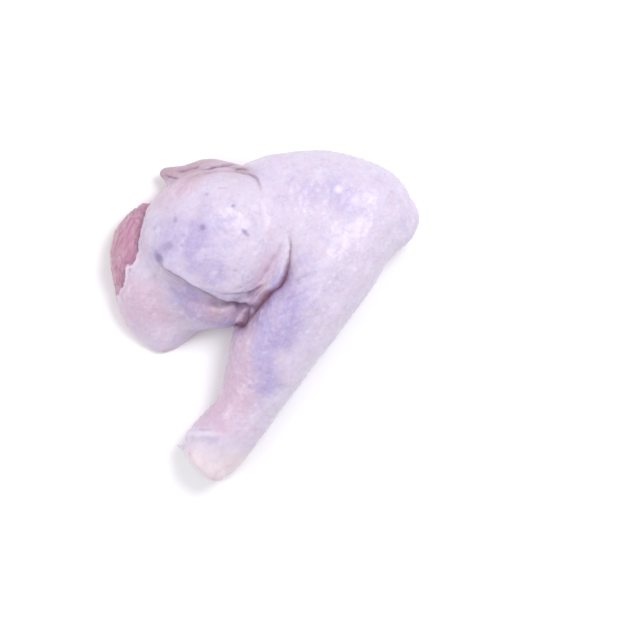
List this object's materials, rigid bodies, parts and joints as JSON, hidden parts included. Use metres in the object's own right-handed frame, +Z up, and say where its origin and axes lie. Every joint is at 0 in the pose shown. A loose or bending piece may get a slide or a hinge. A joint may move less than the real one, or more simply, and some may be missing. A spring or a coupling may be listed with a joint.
{
  "type": "raw chicken leg",
  "caption": "Raw skin-on whole chicken leg, thigh and drumstick in one piece folded at the knee, lying flat on its cut side.",
  "frame": {"origin": "middle of the leg's footprint, at the height of the surface it lies on", "axes": "+Z up, +X from the hip end towards the knee, +Y from the hock end towards the back of the thigh"},
  "size_m": [0.1268, 0.1356, 0.0403],
  "materials": {
    "chicken_skin": "moist raw skin, pale pink and lilac, satin"
  },
  "bodies": {
    "root": {"chicken_leg": "chicken_skin"}
  },
  "joints": []
}
